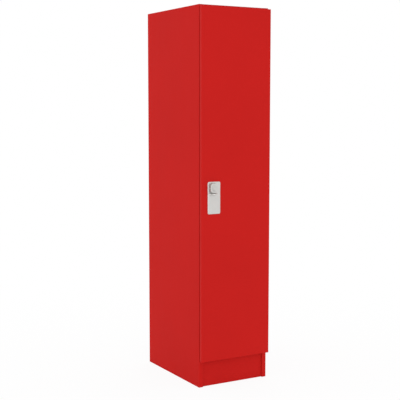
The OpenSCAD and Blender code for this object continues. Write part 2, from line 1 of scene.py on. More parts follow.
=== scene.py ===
# %% [markdown]
# # Dressing a tall laminated locker
# The locker is already built as solids: boards, edging, hinges and a turn latch, all in
# metres, standing on the floor at the origin. This lesson gives each piece its finish, swaps
# the plain fasteners and castings for finer ones, and sets up a small white studio.
# Nothing here moves or resizes a board, so every new piece is measured off the solid that it
# stands for.

# %% Load the solids
import json
import math

import bmesh
import bpy
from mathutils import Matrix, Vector


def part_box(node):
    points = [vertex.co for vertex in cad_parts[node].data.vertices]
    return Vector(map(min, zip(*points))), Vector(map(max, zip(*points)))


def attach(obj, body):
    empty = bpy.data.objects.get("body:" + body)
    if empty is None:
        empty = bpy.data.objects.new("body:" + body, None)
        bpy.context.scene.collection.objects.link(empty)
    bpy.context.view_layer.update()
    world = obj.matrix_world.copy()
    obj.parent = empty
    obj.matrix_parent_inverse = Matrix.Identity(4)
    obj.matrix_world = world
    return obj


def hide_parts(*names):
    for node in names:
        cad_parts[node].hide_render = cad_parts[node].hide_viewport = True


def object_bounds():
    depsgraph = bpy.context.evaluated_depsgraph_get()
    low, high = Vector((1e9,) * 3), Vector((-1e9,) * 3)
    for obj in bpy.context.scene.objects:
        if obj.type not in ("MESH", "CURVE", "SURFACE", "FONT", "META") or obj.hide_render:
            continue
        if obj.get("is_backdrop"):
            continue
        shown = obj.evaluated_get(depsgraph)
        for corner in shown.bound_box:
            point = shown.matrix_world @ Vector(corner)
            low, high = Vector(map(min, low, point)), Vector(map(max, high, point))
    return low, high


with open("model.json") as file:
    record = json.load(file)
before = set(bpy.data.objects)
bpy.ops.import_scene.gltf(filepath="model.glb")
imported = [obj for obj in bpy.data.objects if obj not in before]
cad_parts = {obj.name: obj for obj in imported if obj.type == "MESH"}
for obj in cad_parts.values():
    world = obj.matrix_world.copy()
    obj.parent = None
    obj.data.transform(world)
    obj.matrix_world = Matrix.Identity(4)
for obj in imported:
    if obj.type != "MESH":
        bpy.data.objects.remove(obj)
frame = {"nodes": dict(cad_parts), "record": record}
CAD_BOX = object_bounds()
NODES = frame["nodes"]
MM = 0.001
print(f"{len(NODES)} solids, overall {[round(v, 4) for v in CAD_BOX[1] - CAD_BOX[0]]} m")

# %% [markdown]
# ## Short calls for node trees
# A shader or a Geometry Nodes tree is a list of boxes and wires. Wired box by box, the idea
# gets lost in the wiring. Here `put` adds one node, sets its options and fills its inputs, and
# an input that is given another node's output is wired to it. `maths`, `mix` and `split` are
# short names for the nodes that come up most. A Mix node has a pair of inputs for each kind of
# value, and they share their names, so they are picked by their place in its list.

# %% Node helpers
MIX_NUMBERS = (2, 3)
MIX_COLOURS = (6, 7)
MIXED_COLOUR = 2


def put(tree, kind, inputs=None, **options):
    node = tree.nodes.new(kind)
    for name, value in options.items():
        setattr(node, name, value)
    for key, value in (inputs or {}).items():
        if isinstance(value, bpy.types.NodeSocket):
            tree.links.new(value, node.inputs[key])
        else:
            node.inputs[key].default_value = value
    return node


def maths(tree, operation, *values):
    return put(tree, "ShaderNodeMath", dict(enumerate(values)), operation=operation).outputs[0]


def mix(tree, share, first, second):
    """The first number where share is 0, the second where it is 1."""
    inputs = {"Factor": share, MIX_NUMBERS[0]: first, MIX_NUMBERS[1]: second}
    return put(tree, "ShaderNodeMix", inputs).outputs[0]


def split(tree, vector):
    """The three parts of a vector."""
    return put(tree, "ShaderNodeSeparateXYZ", {"Vector": vector}).outputs

# %% [markdown]
# ## Short calls for finishes
# Nearly every finish here is made the same way. Noise on Object coordinates has a real size and
# stays on its piece. It is spread over a range of colour and a range of roughness, and used
# once more as bump. A value that the whole surface shares, such as how metallic it is, is set
# on the shader itself.

# %% Finish helpers
def colour(red, green, blue):
    """A colour written as 0 to 255 on screen, in the linear numbers that shaders take."""
    def linear(value):
        share = value / 255
        return share / 12.92 if share <= 0.04045 else ((share + 0.055) / 1.055) ** 2.4

    return (linear(red), linear(green), linear(blue), 1.0)


def begin(name, **sockets):
    """A new material with its surface shader's own sockets set."""
    material = bpy.data.materials.new(name)
    material.use_nodes = True
    tree = material.node_tree
    shader = tree.nodes["Principled BSDF"]
    for key, value in sockets.items():
        shader.inputs[key.replace("_", " ")].default_value = value
    place = put(tree, "ShaderNodeTexCoord").outputs["Object"]
    return material, tree, shader, place


def noise(tree, place, per_metre, detail, stretch=(1, 1, 1)):
    """Noise with so many cells to the metre, drawn out along an axis by a small stretch."""
    moved = put(tree, "ShaderNodeMapping", {"Vector": place, "Scale": stretch})
    inputs = {"Vector": moved.outputs[0], "Scale": per_metre, "Detail": detail}
    return put(tree, "ShaderNodeTexNoise", inputs).outputs["Fac"]


def spread(tree, value, low, high, start=0.3, end=0.7):
    """Maps start to end onto low to high. Noise hardly leaves 0.3 to 0.7."""
    inputs = {"Value": value, "From Min": start, "From Max": end, "To Min": low, "To Max": high}
    return put(tree, "ShaderNodeMapRange", inputs).outputs["Result"]


def blend_colours(tree, share, first, second):
    inputs = {"Factor": share, MIX_COLOURS[0]: first, MIX_COLOURS[1]: second}
    return put(tree, "ShaderNodeMix", inputs, data_type="RGBA").outputs[MIXED_COLOUR]


def shade(base, amount):
    return tuple(min(1.0, channel * amount) for channel in base[:3]) + (1.0,)


def tinted(tree, share, base, dark, pale):
    """The base colour, from a darker shade of it where share is 0 to a paler one at 1."""
    return blend_colours(tree, share, shade(base, dark), shade(base, pale))


def two_scales(tree, broad, fine, fine_share):
    """One 0 to 1 value from two noises: slow drifts and, by a share, the fine pattern."""
    return mix(tree, fine_share, spread(tree, broad, 0, 1), spread(tree, fine, 0, 1))


def relief(tree, shader, height, depth, strength):
    """Sets the shader's bump to a height pattern of a real depth in metres."""
    inputs = {"Height": height, "Distance": depth, "Strength": strength}
    bump = put(tree, "ShaderNodeBump", inputs)
    tree.links.new(bump.outputs["Normal"], shader.inputs["Normal"])


def wire(tree, shader, **sockets):
    for key, value in sockets.items():
        tree.links.new(value, shader.inputs[key.replace("_", " ")])

# %% [markdown]
# ## Red laminate
# The boards are chipboard with a red decor paper pressed on under resin. Seen from a step
# away it is an even, quiet red. Close up it has a fine pearl texture, about one dimple to the
# millimetre, which breaks every reflection into a low sheen, and faint wiping marks that run
# up and down. The pearl is bump from noise. Under light from all sides bump alone hardly shows,
# so the same noise also paints the dimples a little darker than the tops, as painted shade.
# The marks only change the roughness.

# %% Laminate
RED = colour(197, 33, 30)
SHEEN_LEVEL = 0.02
PEARL_PER_METRE = 1100.0
PEARL_DEPTH = 0.12 * MM
PEARL_STRENGTH = 0.7
# How much of the tint follows the pearl: painted shade, darker in the dimples.
PEARL_SHADE_SHARE = 0.7


def laminate_looks(tree, place):
    """Colour, roughness and height of the laminate, for a whole board or a part of one."""
    pearl = noise(tree, place, PEARL_PER_METRE, detail=1.0)
    drift = noise(tree, place, per_metre=2.3, detail=4.0)
    # The slow drift is the paper's own tone; the pearl's share darkens the dimples as painted
    # shade.
    tint = tinted(tree, two_scales(tree, drift, pearl, PEARL_SHADE_SHARE), RED, dark=0.91, pale=1.085)
    marks = noise(tree, place, per_metre=38.0, detail=3.0, stretch=(1, 1, 0.12))
    rough = spread(tree, marks, low=0.49, high=0.54)
    return tint, rough, pearl


def red_laminate():
    material, tree, shader, place = begin("red_laminate", Specular_IOR_Level=SHEEN_LEVEL)
    tint, rough, pearl = laminate_looks(tree, place)
    wire(tree, shader, Base_Color=tint, Roughness=rough)
    relief(tree, shader, pearl, PEARL_DEPTH, PEARL_STRENGTH)
    return material


print(f"laminate: pearls {1000 / PEARL_PER_METRE:.2f} mm apart")

# %% [markdown]
# ## Bare chipboard edges
# Only the edges that show from the front are lipped with plastic. The rear edges, which go
# against the wall, and the edges that stand on the floor stay bare: pressed wood chips between
# two thin red skins. The board is made in three layers, so the chips are fine as sawdust under
# each skin and coarse in the core, where the holes between them are sunk in the bump and
# darkened with painted shade. One material does it all, because the bare edge lies on a known
# plane of each board. Where a point is on that plane, the colour changes from laminate to
# chips, and the distance to the skins picks the layer.

# %% Board with bare edges
CHIP_LIGHT = colour(217, 188, 146)
CHIP_DARK = colour(158, 122, 84)
# The colour of the holes between the core's chips: painted shade.
GAP_PAINTED_SHADE = colour(104, 74, 48)
SKIN = 0.35 * MM
FINE_LAYER = 3.0 * MM
LAYER_BLEND = 1.0 * MM
COARSE_CHIP = 2.2 * MM
FINE_CHIP = 0.8 * MM
CHIP_STRETCH = 0.35
GRAIN_WEIGHT = 0.45
DUST_WEIGHT = 0.6
CHIP_DEPTH = 0.25 * MM
BARE_ROUGHNESS = 0.9
ON_PLANE = 0.05 * MM


def cells(tree, place, width, along):
    """A grey value for each chip: cells of a real width, nearly three times as long."""
    stretch = [1.0, 1.0, 1.0]
    stretch[along] = CHIP_STRETCH
    moved = put(tree, "ShaderNodeMapping", {"Vector": place, "Scale": stretch}).outputs[0]
    chips = put(tree, "ShaderNodeTexVoronoi", {"Vector": moved, "Scale": 1 / width})
    return put(tree, "ShaderNodeSeparateColor", {"Color": chips.outputs["Color"]}).outputs[0]


def chip_looks(tree, place, along, core):
    """Colour and height of pressed chips. core is 1 in the board's core and 0 under its skins."""
    coarse = cells(tree, place, COARSE_CHIP, along)
    fine = cells(tree, place, FINE_CHIP, along)
    grain = maths(tree, "MULTIPLY", mix(tree, core, fine, coarse), GRAIN_WEIGHT)
    dust = noise(tree, place, per_metre=1100.0, detail=3.0)
    mixed = maths(tree, "ADD", grain, maths(tree, "MULTIPLY", dust, DUST_WEIGHT))
    paleness = spread(tree, mixed, 0, 1, start=0.25, end=0.8)
    chips = blend_colours(tree, paleness, CHIP_DARK, CHIP_LIGHT)
    gaps = noise(tree, place, per_metre=520.0, detail=2.0)
    holes = maths(tree, "MULTIPLY", core, spread(tree, gaps, 1, 0, start=0.3, end=0.38))
    # The holes are sunk in the height and darkened in the colour with painted shade.
    return blend_colours(tree, holes, chips, GAP_PAINTED_SHADE), maths(tree, "SUBTRACT", mixed, holes)


def board(node, bare_rear, bare_foot):
    """Laminate for one board, with chips on the edges that are bare."""
    low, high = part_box(node)
    size = high - low
    thin = min(range(3), key=lambda axis: size[axis])
    long = max(range(3), key=lambda axis: size[axis])
    material, tree, shader, place = begin("board_" + node, Specular_IOR_Level=SHEEN_LEVEL)
    tint, rough, pearl = laminate_looks(tree, place)
    axes = split(tree, place)
    deep = maths(tree, "MINIMUM",
                 maths(tree, "SUBTRACT", axes[thin], low[thin]),
                 maths(tree, "SUBTRACT", high[thin], axes[thin]))
    inside = maths(tree, "GREATER_THAN", deep, SKIN)
    core = spread(tree, deep, 0, 1, FINE_LAYER - LAYER_BLEND, FINE_LAYER + LAYER_BLEND)
    planes = []
    if bare_rear:
        planes.append(maths(tree, "GREATER_THAN", axes[1], high.y - ON_PLANE))
    if bare_foot:
        planes.append(maths(tree, "LESS_THAN", axes[2], low.z + ON_PLANE))
    bare = maths(tree, "MULTIPLY", inside, planes[0] if len(planes) == 1
                 else maths(tree, "MAXIMUM", *planes))
    chips, bits = chip_looks(tree, place, long, core)
    wire(tree, shader,
         Base_Color=blend_colours(tree, bare, tint, chips),
         Roughness=maths(tree, "MAXIMUM", rough, maths(tree, "MULTIPLY", bare, BARE_ROUGHNESS)))
    flat = maths(tree, "MULTIPLY", pearl, maths(tree, "SUBTRACT", 1.0, bare))
    pitted = maths(tree, "MULTIPLY", maths(tree, "MULTIPLY", bits, CHIP_DEPTH / PEARL_DEPTH), bare)
    relief(tree, shader, maths(tree, "ADD", flat, pitted), PEARL_DEPTH, PEARL_STRENGTH)
    return material


print(f"chipboard: fine for {FINE_LAYER / MM:g} mm under each skin of {SKIN / MM:g} mm")

# %% [markdown]
# ## Plastic edging
# The lipping is a 2 mm strip of solid coloured plastic, scraped flush after gluing. It has
# no pearl texture, so it is a little glossier than the boards, with very fine scraper lines
# along its length. The gloss adds some white, so the red under it is written a little deeper.
# A strip's box says which way it lies. The door's four strips are one solid, so there the lines
# run level within a strip's thickness of the top and the foot, and upright elsewhere.

# %% Edging
EDGING_RED = colour(197, 30, 27)
EDGING_SHEEN = 0.04
STRIP_THICKNESS = 2.0 * MM
WIDEST_STRIP = 25.0 * MM
SCRAPER = {"per_metre": 900.0, "detail": 2.0}
LINE_STRETCH = 0.02


def scraper_lines(tree, place, low, high):
    """Lines along the strip, or along each strip of a frame, whose box is low to high."""
    level = noise(tree, place, stretch=(LINE_STRETCH, 1, 1), **SCRAPER)
    if (high - low).z < WIDEST_STRIP:
        return level
    upright = noise(tree, place, stretch=(1, 1, LINE_STRETCH), **SCRAPER)
    if (high - low).x < WIDEST_STRIP:
        return upright
    z = split(tree, place)["Z"]
    from_foot = maths(tree, "SUBTRACT", z, low.z)
    from_top = maths(tree, "SUBTRACT", high.z, z)
    to_end = maths(tree, "MINIMUM", from_foot, from_top)
    return mix(tree, maths(tree, "LESS_THAN", to_end, STRIP_THICKNESS), upright, level)


def red_edging(node):
    material, tree, shader, place = begin("edging_" + node, Specular_IOR_Level=EDGING_SHEEN)
    lines = scraper_lines(tree, place, *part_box(node))
    drift = noise(tree, place, per_metre=6.0, detail=3.0)
    share = two_scales(tree, drift, lines, fine_share=0.5)
    tint = tinted(tree, share, EDGING_RED, dark=0.95, pale=1.05)
    wire(tree, shader, Base_Color=tint, Roughness=spread(tree, lines, low=0.36, high=0.46))
    relief(tree, shader, lines, depth=0.01 * MM, strength=0.6)
    return material


print(f"edging: lines {1 / LINE_STRETCH:g} times as long as they are wide")

# %% [markdown]
# ## Metals
# The lock's castings are zinc under a silver coat. The coat is a paint with metal in it, so it
# is only part metallic and keeps its pale grey whatever stands around it. The hinges are
# nickel-plated steel, brushed along their length, and the small hardware is bright zinc plate,
# which clouds into bluish and yellowish patches. These are fully metallic: in a white room they
# mirror white, and what tells them apart is their base colour, their roughness and the
# direction of the fine marks.

# %% Metal finishes
def silver_coat(name, silver, metallic, rough, depth):
    """Zinc under a silver coat: a little cloudy, with the grain of the casting over it."""
    material, tree, shader, place = begin(name, Metallic=metallic, Specular_IOR_Level=0.3)
    grain = noise(tree, place, per_metre=2600.0, detail=2.0)
    cloud = noise(tree, place, per_metre=45.0, detail=3.0)
    share = two_scales(tree, cloud, grain, fine_share=0.7)
    tint = tinted(tree, share, silver, dark=0.93, pale=1.06)
    wire(tree, shader, Base_Color=tint, Roughness=spread(tree, cloud, *rough))
    relief(tree, shader, grain, depth, strength=0.6)
    return material


def zinc_plated_steel():
    """Bright zinc: bluish and yellowish clouds, with a fine crystal grain in the bump."""
    material, tree, shader, place = begin("zinc_plated_steel", Metallic=1.0)
    cloud = noise(tree, place, per_metre=120.0, detail=3.0)
    bluish, yellowish = colour(176, 185, 196), colour(196, 192, 176)
    tint = blend_colours(tree, spread(tree, cloud, 0, 1), bluish, yellowish)
    grain = noise(tree, place, per_metre=1800.0, detail=2.0)
    wire(tree, shader, Base_Color=tint, Roughness=spread(tree, cloud, low=0.3, high=0.38))
    relief(tree, shader, grain, depth=0.008 * MM, strength=0.5)
    return material


def one_pattern(name, pattern, dark, pale, rough, bump=None, **sockets):
    """A finish whose colour, roughness and bump all follow one noise.

    rough is a range, and bump is a depth and a strength.
    """
    material, tree, shader, place = begin(name, **sockets)
    value = noise(tree, place, **pattern)
    tint = blend_colours(tree, spread(tree, value, 0, 1), dark, pale)
    wire(tree, shader, Base_Color=tint, Roughness=spread(tree, value, *rough))
    if bump:
        relief(tree, shader, value, *bump)
    return material

# %% Metals by name
SILVER = colour(208, 206, 203)
# The grey of the knob's and the eye's flanks, darker than the silver face: painted shade.
PAINTED_SHADE_GREY = colour(166, 164, 160)
STEEL = colour(186, 185, 181)
CHROME = colour(226, 228, 230)
ZINC = colour(150, 152, 155)
FINISHES = {
    "red_laminate": red_laminate(),
    "satin_silver": silver_coat(
        "satin_silver", SILVER, metallic=0.5, rough=(0.38, 0.46), depth=0.012 * MM),
    # A darker, duller copy of the silver coat, put on the flanks as painted shade.
    "painted_shade_silver": silver_coat(
        "painted_shade_silver", PAINTED_SHADE_GREY, metallic=0.2, rough=(0.55, 0.65), depth=0.03 * MM),
    "zinc_plated_steel": zinc_plated_steel(),
    "satin_steel": one_pattern(
        "satin_steel", {"per_metre": 1400.0, "detail": 3.0, "stretch": (1, 1, 0.03)},
        dark=shade(STEEL, 0.92), pale=shade(STEEL, 1.04),
        rough=(0.26, 0.4), bump=(0.006 * MM, 0.5), Metallic=1.0),
    "chromed_tube": one_pattern(
        "chromed_tube", {"per_metre": 60.0, "detail": 4.0, "stretch": (0.2, 1, 1)},
        dark=shade(CHROME, 0.97), pale=CHROME, rough=(0.05, 0.14), Metallic=1.0),
    "zinc_casting": one_pattern(
        "zinc_casting", {"per_metre": 700.0, "detail": 4.0},
        dark=shade(ZINC, 0.8), pale=shade(ZINC, 1.1),
        rough=(0.5, 0.65), bump=(0.05 * MM, 0.6), Metallic=1.0),
}
print("metals:", ", ".join(sorted(name for name in FINISHES if name != "red_laminate")))

# %% [markdown]
# ## Beech and rubber
# The dowels are turned beech with straight grain along the peg, and the buffers are soft grey
# rubber, matt and slightly dusty. One noise each is enough for them too.

# %% Wood and rubber
FINISHES["beech"] = one_pattern(
    "beech", {"per_metre": 900.0, "detail": 4.0, "stretch": (0.06, 1, 1)},
    dark=colour(176, 136, 92), pale=colour(214, 178, 132),
    rough=(0.6, 0.8), bump=(0.04 * MM, 0.6), Specular_IOR_Level=0.3)
FINISHES["grey_rubber"] = one_pattern(
    "grey_rubber", {"per_metre": 300.0, "detail": 4.0},
    dark=colour(62, 62, 62), pale=colour(92, 91, 89),
    rough=(0.75, 0.92), bump=(0.03 * MM, 0.6), Specular_IOR_Level=0.3)
print(f"{len(FINISHES)} finishes that pieces share")

# %% [markdown]
# ## Painting the solids
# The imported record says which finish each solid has, so one loop paints them all. Boards whose
# rear or lower edges are bare get a material of their own, cut to their own planes, and so do
# the edging strips, each with its own direction. Every board below has its bare edges given as
# rear, then foot.

# %% Assign the finishes
SLOTS = {entry["node"]: entry["material_slot"] for entry in frame["record"]["subparts"]}
BARE_EDGES = {
    "left_side_panel": (True, True),
    "right_side_panel": (True, True),
    "top_panel": (True, False),
    "bottom_panel": (True, False),
    "hat_shelf": (True, False),
    "front_plinth": (False, True),
    "rear_plinth": (False, True),
}


def paint(piece, material):
    piece.data.materials.clear()
    piece.data.materials.append(material)


for name, solid in NODES.items():
    if name in BARE_EDGES:
        paint(solid, board(name, *BARE_EDGES[name]))
    elif SLOTS[name] == "red_edging":
        paint(solid, red_edging(name))
    else:
        paint(solid, FINISHES[SLOTS[name]])
print(f"painted {len(NODES)} solids with {len(bpy.data.materials)} materials")

# %% [markdown]
# ## Softer edges on metal
# No metal piece has knife edges. A mould leaves a small radius everywhere on a die casting,
# stamped and turned steel is tumbled or broken with a file, and the thin bright line along
# such an edge is what makes metal read as metal. Each piece is copied from its solid, the
# triangles of each flat face are merged back into one, and every sharp edge gets a narrow
# rounded bevel. Smooth shading would then bend the light across the large flat faces as well, so
# a Weighted Normal modifier lets the largest face at each corner decide its direction. The
# copies stand for the solids.
#
# The knob and the eye have a second finish: every face of theirs that doesn't look to the
# front gets a darker, duller grey than the silver face, which is painted shade on the flanks.

# %% Soften the metal pieces
CASTING_RADIUS = 0.5 * MM
STEEL_RADIUS = 0.25 * MM
SHARP = math.radians(28)
FLAT = math.radians(0.6)
WELD = 0.002 * MM
TOO_SMALL = 0.0005 * MM
BEVEL_STEPS = 2
ROUND_PROFILE = 0.5
LARGEST_WINS = 100
FRONT_FACING_BELOW = -0.5  # a normal's Y: the front looks to -1, the flanks are near 0


def soften(node, body, radius, painted_shade_flanks=False):
    mesh = bmesh.new()
    mesh.from_mesh(NODES[node].data)
    bmesh.ops.remove_doubles(mesh, verts=mesh.verts, dist=WELD)
    bmesh.ops.dissolve_limit(mesh, angle_limit=FLAT, verts=mesh.verts, edges=mesh.edges)
    sharp = [edge for edge in mesh.edges
             if edge.is_manifold and edge.calc_face_angle() > SHARP]
    bmesh.ops.bevel(mesh, geom=sharp, offset=radius, offset_type="OFFSET", segments=BEVEL_STEPS,
                    profile=ROUND_PROFILE, affect="EDGES", clamp_overlap=True, harden_normals=False)
    bmesh.ops.dissolve_degenerate(mesh, dist=TOO_SMALL, edges=mesh.edges)
    for face in mesh.faces:
        # Faces that don't look to the front take the second, darker finish: painted shade on the
        # flanks.
        face.material_index = int(painted_shade_flanks and face.normal.y > FRONT_FACING_BELOW)
    name = "soft_" + node
    made = bpy.data.meshes.new(name)
    mesh.to_mesh(made)
    mesh.free()
    made.polygons.foreach_set("use_smooth", [True] * len(made.polygons))
    made.set_sharp_from_angle(angle=SHARP)
    made.materials.append(FINISHES[SLOTS[node]])
    if painted_shade_flanks:
        made.materials.append(FINISHES["painted_shade_silver"])
    piece = bpy.data.objects.new(name, made)
    bpy.context.scene.collection.objects.link(piece)
    level_flats = piece.modifiers.new("level_flats", "WEIGHTED_NORMAL")
    level_flats.mode = "FACE_AREA"
    level_flats.weight = LARGEST_WINS
    level_flats.keep_sharp = True
    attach(piece, body)
    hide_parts(node)
    print(f"{name}: {len(sharp)} edges rounded, {len(made.polygons)} faces")

# %% Round the castings and the steel
soften("lock_plate", "door", CASTING_RADIUS)
soften("padlock_eye", "door", CASTING_RADIUS, painted_shade_flanks=True)
soften("latch_knob", "latch", CASTING_RADIUS, painted_shade_flanks=True)
for level in ("upper", "middle", "lower"):
    soften(level + "_frame_leaf", "carcass", STEEL_RADIUS)
    soften(level + "_door_leaf", "door", STEEL_RADIUS)
for node in ("latch_keeper", "left_rail_socket", "right_rail_socket"):
    soften(node, "carcass", STEEL_RADIUS)
for node in ("spindle_bush", "lock_back_plate", "bush_nut"):
    soften(node, "door", STEEL_RADIUS)
for node in ("latch_cam", "cam_nut"):
    soften(node, "latch", STEEL_RADIUS)

# %% [markdown]
# ## Where the screws are
# Each group of fasteners is one solid node with several separate bodies in it. Welding a copy
# and walking from vertex to vertex splits the group into islands, and the box of each island
# says where that screw stands and how long it is. The walk may find the islands in any order,
# and each copy's random turn goes by its place in the list, so the list is sorted at the end.

# %% Islands of a node
SORTED_TO = 4  # decimals of a metre


def islands(node):
    """The lowest and highest corner of each separate body in a node.

    They go from the floor up, then from left to right, then from front to back.
    """
    mesh = bmesh.new()
    mesh.from_mesh(NODES[node].data)
    bmesh.ops.remove_doubles(mesh, verts=mesh.verts, dist=WELD)
    unseen = set(mesh.verts)
    boxes = []
    while unseen:
        front = [unseen.pop()]
        points = []
        while front:
            vert = front.pop()
            points.append(vert.co.copy())
            for edge in vert.link_edges:
                other = edge.other_vert(vert)
                if other in unseen:
                    unseen.remove(other)
                    front.append(other)
        boxes.append((Vector(map(min, *points)), Vector(map(max, *points))))
    mesh.free()

    def order(box):
        low = box[0]
        return [round(value, SORTED_TO) for value in (low.z, low.x, low.y)]

    return sorted(boxes, key=order)

# %% [markdown]
# ## A screw that follows a rule
# A wood screw is one turned shape: a head, a short plain neck and a thread that is a helix.
# The tree starts from a plain cylinder with many rings and moves every ring out or in by a
# formula. Along the axis the radius is the head's, then the shank's, then the point's; round
# the axis the height is shifted by the angle, and that alone turns rings into a thread. A
# cross cut from the head makes the recess. The screw is then placed on each point, aimed along
# the point's own direction and spun by a seeded random angle, as no two are driven alike.
# Modelled by hand, the five groups of screws would need a model for each size. One tree with
# named sizes makes them all.

# %% Geometry Nodes helpers
def new_tree(name, sockets):
    """A tree with a geometry in and out and named inputs, given as name: (type, default)."""
    tree = bpy.data.node_groups.new(name, "GeometryNodeTree")
    tree.interface.new_socket("Geometry", in_out="INPUT", socket_type="NodeSocketGeometry")
    for label, (kind, default) in sockets.items():
        socket = tree.interface.new_socket(label, in_out="INPUT", socket_type=kind)
        if default is not None:
            socket.default_value = default
    tree.interface.new_socket("Geometry", in_out="OUTPUT", socket_type="NodeSocketGeometry")
    return tree, put(tree, "NodeGroupInput").outputs


def grow(name, tree, places, values, body, nodes):
    """Runs a tree on a cloud of aimed points and keeps the result as a plain mesh."""
    cloud = bpy.data.meshes.new(name + "_points")
    cloud.from_pydata([place for place, aim in places], [], [])
    aims = cloud.attributes.new("aim", "FLOAT_VECTOR", "POINT")
    aims.data.foreach_set("vector", [part for place, aim in places for part in aim])
    seed = bpy.data.objects.new(name + "_seed", cloud)
    bpy.context.scene.collection.objects.link(seed)
    modifier = seed.modifiers.new("grow", "NODES")
    modifier.node_group = tree
    for item in tree.interface.items_tree:
        if item.in_out == "INPUT" and item.name in values:
            modifier[item.identifier] = values[item.name]
    shown = seed.evaluated_get(bpy.context.evaluated_depsgraph_get())
    mesh = bpy.data.meshes.new_from_object(shown)
    mesh.name = name
    seed.modifiers.clear()
    bpy.data.objects.remove(seed)
    piece = bpy.data.objects.new(name, mesh)
    bpy.context.scene.collection.objects.link(piece)
    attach(piece, body)
    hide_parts(*nodes)
    print(f"{name}: {len(places)} copies, {len(mesh.polygons)} faces")


def place_copies(tree, inputs, shape):
    """Ends a tree: the shape on every point, aimed, spun, made real and painted."""
    aim = put(tree, "GeometryNodeInputNamedAttribute", {"Name": "aim"}, data_type="FLOAT_VECTOR")
    turned = put(tree, "FunctionNodeAlignRotationToVector",
                 {"Vector": aim.outputs["Attribute"]}, axis="Z").outputs["Rotation"]
    spin = put(tree, "FunctionNodeRandomValue",
               {"Min": 0.0, "Max": math.tau, "Seed": inputs["Seed"]}, data_type="FLOAT")
    around = put(tree, "ShaderNodeCombineXYZ", {"Z": spin.outputs[1]}).outputs[0]
    spun = put(tree, "FunctionNodeRotateRotation",
               {"Rotation": turned,
                "Rotate By": put(tree, "FunctionNodeEulerToRotation", {0: around}).outputs[0]},
               rotation_space="LOCAL").outputs[0]
    copies = put(tree, "GeometryNodeInstanceOnPoints",
                 {"Points": inputs["Geometry"], "Instance": shape, "Rotation": spun}).outputs[0]
    real = put(tree, "GeometryNodeRealizeInstances", {"Geometry": copies}).outputs[0]
    painted = put(tree, "GeometryNodeSetMaterial",
                  {"Geometry": real, "Material": inputs["Material"]}).outputs[0]
    put(tree, "NodeGroupOutput", {"Geometry": painted})

# %% The screw's tree
SCREW_RINGS_PER_TURN = 6
SCREW_SIDES = 20
DOME_SHARE = 0.55   # how far a domed head draws in at its crown, from 0 to 1
POINT_SHARE = 0.12  # the point's radius as a share of the shank's
BLADE_SHARE = 0.22  # the width of a recess arm as a share of its length


